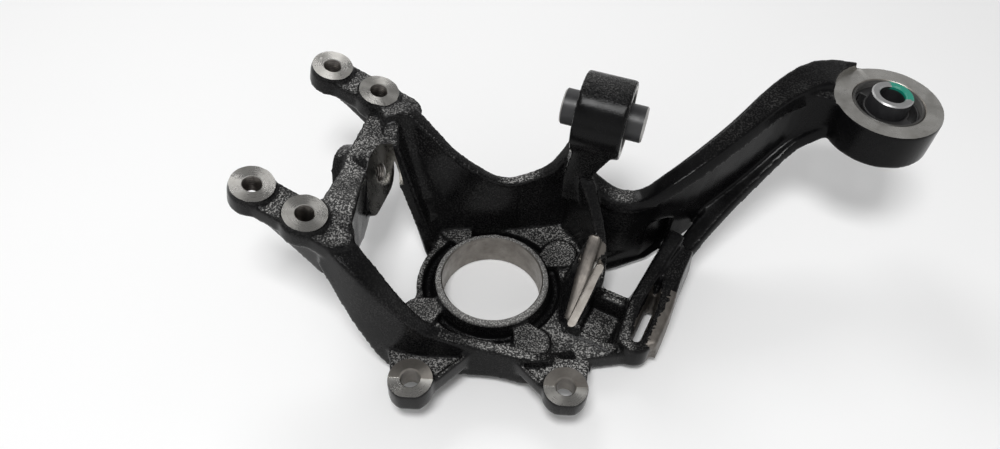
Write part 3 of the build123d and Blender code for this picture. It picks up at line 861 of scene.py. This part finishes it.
def bare_foot(body):
    """Milled metal at the foot: the inner lug's ledge, the outer plate's edge and its slot."""
    faces = body.data.polygons
    middles, normals = rows_of(faces, "center") / MM, rows_of(faces, "normal")
    slots = np.empty(len(faces), dtype=np.int32)
    faces.foreach_get("material_index", slots)
    across, along, up = (middles @ np.array(axis) for axis in (FOOT_ACROSS, FOOT_ALONG, UP))
    ledge = (between(across, LEDGE_ACROSS) & between(along, LEDGE_ALONG)
             & (up > LEDGE_SLOPE * along - LEDGE_DROP))
    open_side = (normals @ np.array(FOOT_ACROSS) > LEDGE_FACING) | (normals[:, 2] > LEDGE_FACING)
    strip = (across > STRIP_EDGE) & between(along, STRIP_ALONG) & (up < STRIP_TOP)
    slot = (between(across, SLOT_ACROSS) & between(along, SLOT_ALONG)
            & (np.abs(normals[:, 2]) < SLOT_FACING)
            & (np.abs(across - SLOT_MIDDLE) < SLOT_HALF_WIDTH))
    slots[((ledge & open_side) | strip | slot) & (slots == PAINT)] = MILLED
    faces.foreach_set("material_index", slots)


def note_turning(body):
    """Writes on each face the nearest axis that a face was turned about, for its tool marks."""
    mesh = body.data
    spots = [(mount.place, mount.axis) for mount in PADS + [HUB, LUG, LINK, EYE, FOOT_HOLE]]
    spots += [(spot, UP) for spot in CALIPER_SPOTS + HUB_BOLT_SPOTS]
    places = np.array([tuple(place * MM) for place, axis in spots])
    axes = np.array([tuple(axis) for place, axis in spots])
    gaps = rows_of(mesh.polygons, "center")[:, None, :] - places[None]
    nearest = np.linalg.norm(gaps, axis=2).argmin(axis=1)
    for name, rows in (("turn_centre", places), ("turn_axis", axes)):
        layer = mesh.attributes.new(name, "FLOAT_VECTOR", "FACE")
        layer.data.foreach_set("vector", rows[nearest].ravel())


def build_casting():
    body = cut_away(raw_casting(), cutters())
    body.name = "knuckle_casting_surface"
    bare_foot(body)
    smooth_with_edges(body)
    note_turning(body)
    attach(body, "root")
    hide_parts("knuckle_casting")


# ================================================================ the bushes
def build_sleeve(node_name, made, place, axis, profile):
    """Turned sleeve; its end faces are noted for the material."""
    sleeve = ring_solid(node_name + "_turned", place, axis, profile, 2 * TURNS)
    mesh = sleeve.data
    mesh.materials.append(made)
    ends = [float(abs(face.normal.dot(axis)) > END_FACING) for face in mesh.polygons]
    mesh.attributes.new("end_face", "FLOAT", "FACE").data.foreach_set("value", ends)
    smooth_with_edges(sleeve)
    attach(sleeve, "root")
    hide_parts(node_name)


def build_rubber(node_name, made):
    """Moulded rubber, its edges rounded as they come from the mould."""
    rubber = new_object(node_name + "_moulded", frame["nodes"][node_name].data.copy())
    rubber.data.materials.clear()
    round_edges(rubber, RUBBER_VOXEL, RUBBER_ROUNDING)
    rubber.data.materials.clear()
    rubber.data.materials.append(made)
    smooth_with_edges(rubber, RUBBER_SHARP_ANGLE)
    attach(rubber, "root")
    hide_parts(node_name)


def build_bushes():
    rubber = rubber_material()
    outer = sleeve_material("sleeve_steel", (0.11, 0.108, 0.104), (0.10, 0.098, 0.095), 0.42)
    pin = sleeve_material("blackened_sleeve", (0.46, 0.45, 0.44), (0.014, 0.014, 0.015), 0.36)
    eye_pin = sleeve_material("eye_sleeve", (0.46, 0.46, 0.46), (0.013, 0.013, 0.014), 0.36)
    half = EYE_HEIGHT / 2
    place, axis, dims = EYE
    paint_mark(eye_pin, place + axis * (half + ARM_PIN_PROUD))
    build_sleeve("arm_bush_outer_sleeve", outer, place, axis,
                 tube_profile(ARM_BUSH_RADIUS - SLEEVE_WALL, ARM_BUSH_RADIUS, -half, half,
                              EDGE_BREAK))
    build_sleeve("arm_bush_inner_sleeve", eye_pin, place, axis,
                 tube_profile(dims["r_mm"], ARM_PIN_RADIUS, -half - ARM_PIN_BELOW,
                              half + ARM_PIN_PROUD, PIN_CHAMFER))
    build_rubber("arm_bush_rubber", rubber)
    place, axis, dims = LINK
    build_sleeve("link_bush_outer_sleeve", outer, place, axis,
                 tube_profile(LINK_BUSH_RADIUS - SLEEVE_WALL, LINK_BUSH_RADIUS, -LINK_EAR_HALF,
                              LINK_EAR_HALF, EDGE_BREAK))
    half = dims["length_mm"] / 2
    build_sleeve("link_bush_inner_sleeve", pin, place, axis,
                 tube_profile(dims["r_mm"], LINK_PIN_RADIUS, -half, half, PIN_CHAMFER))
    build_rubber("link_bush_rubber", rubber)


# ================================================================ the studio
def add_camera():
    data = bpy.data.cameras.new("camera")
    data.sensor_width = SENSOR
    data.lens = SENSOR * FOCAL_PIXELS / IMAGE_WIDTH
    data.clip_start = NEAREST_SEEN
    camera = bpy.data.objects.new("camera", data)
    bpy.context.scene.collection.objects.link(camera)
    right = CAMERA_RIGHT.normalized()
    back = right.cross(CAMERA_UP).normalized()
    up = back.cross(right)
    turn = Matrix((right, up, back)).transposed().to_4x4()
    camera.matrix_world = Matrix.Translation(CAMERA_PLACE) @ turn
    bpy.context.scene.camera = camera


def add_light(name, place, size, power):
    """Rectangular lamp that faces the part; its place and size are in metres."""
    data = bpy.data.lights.new(name, "AREA")
    data.shape = "RECTANGLE"
    data.size, data.size_y = size
    data.energy = power
    light = bpy.data.objects.new(name, data)
    bpy.context.scene.collection.objects.link(light)
    light.location = place
    light.rotation_euler = (LIGHT_TARGET - Vector(place)).to_track_quat("-Z", "Y").to_euler()


def add_floor(height):
    """Plain pale floor."""
    made, tree, shader = material("pale_floor")
    shade = noise(tree, place_of(tree), FLOOR_SHADE)
    tree.links.new(blend_colour(tree, shade, FLOOR_DARK, FLOOR_PALE), shader.inputs["Base Color"])
    shader.inputs["Roughness"].default_value = 0.9
    shader.inputs["Specular IOR Level"].default_value = 0.0
    signs = ((-1, -1), (1, -1), (1, 1), (-1, 1))
    corners = [(x * FLOOR_REACH, y * FLOOR_REACH, 0) for x, y in signs]
    floor = new_object("floor", mesh_from("floor", corners, [(0, 1, 2, 3)]))
    floor.location.z = height
    floor.data.materials.append(made)


def add_world():
    """Soft studio dome, bright at the horizon and dim overhead."""
    world = bpy.data.worlds.new("world")
    bpy.context.scene.world = world
    world.use_nodes = True
    tree = world.node_tree
    direction = node(tree, "TexCoord").outputs["Generated"]
    height = node(tree, "SeparateXYZ", {0: direction}).outputs["Z"]
    sky = tree.nodes["Background"]
    sky.inputs["Color"].default_value = (1, 1, 1, 1)
    tree.links.new(spread(tree, height, *DOME_BAND, *DOME_LIGHT), sky.inputs["Strength"])


add_camera()
build_casting()
build_bushes()
add_floor(cad_box[0][2] - FLOOR_GAP * MM)
add_light("key", place=(-0.15, -0.50, 1.50), size=(0.50, 0.40), power=15)
add_light("window", place=(-0.45, 1.32, 1.28), size=(0.7, 0.5), power=7)
add_world()
bpy.context.scene.view_settings.view_transform = "Standard"
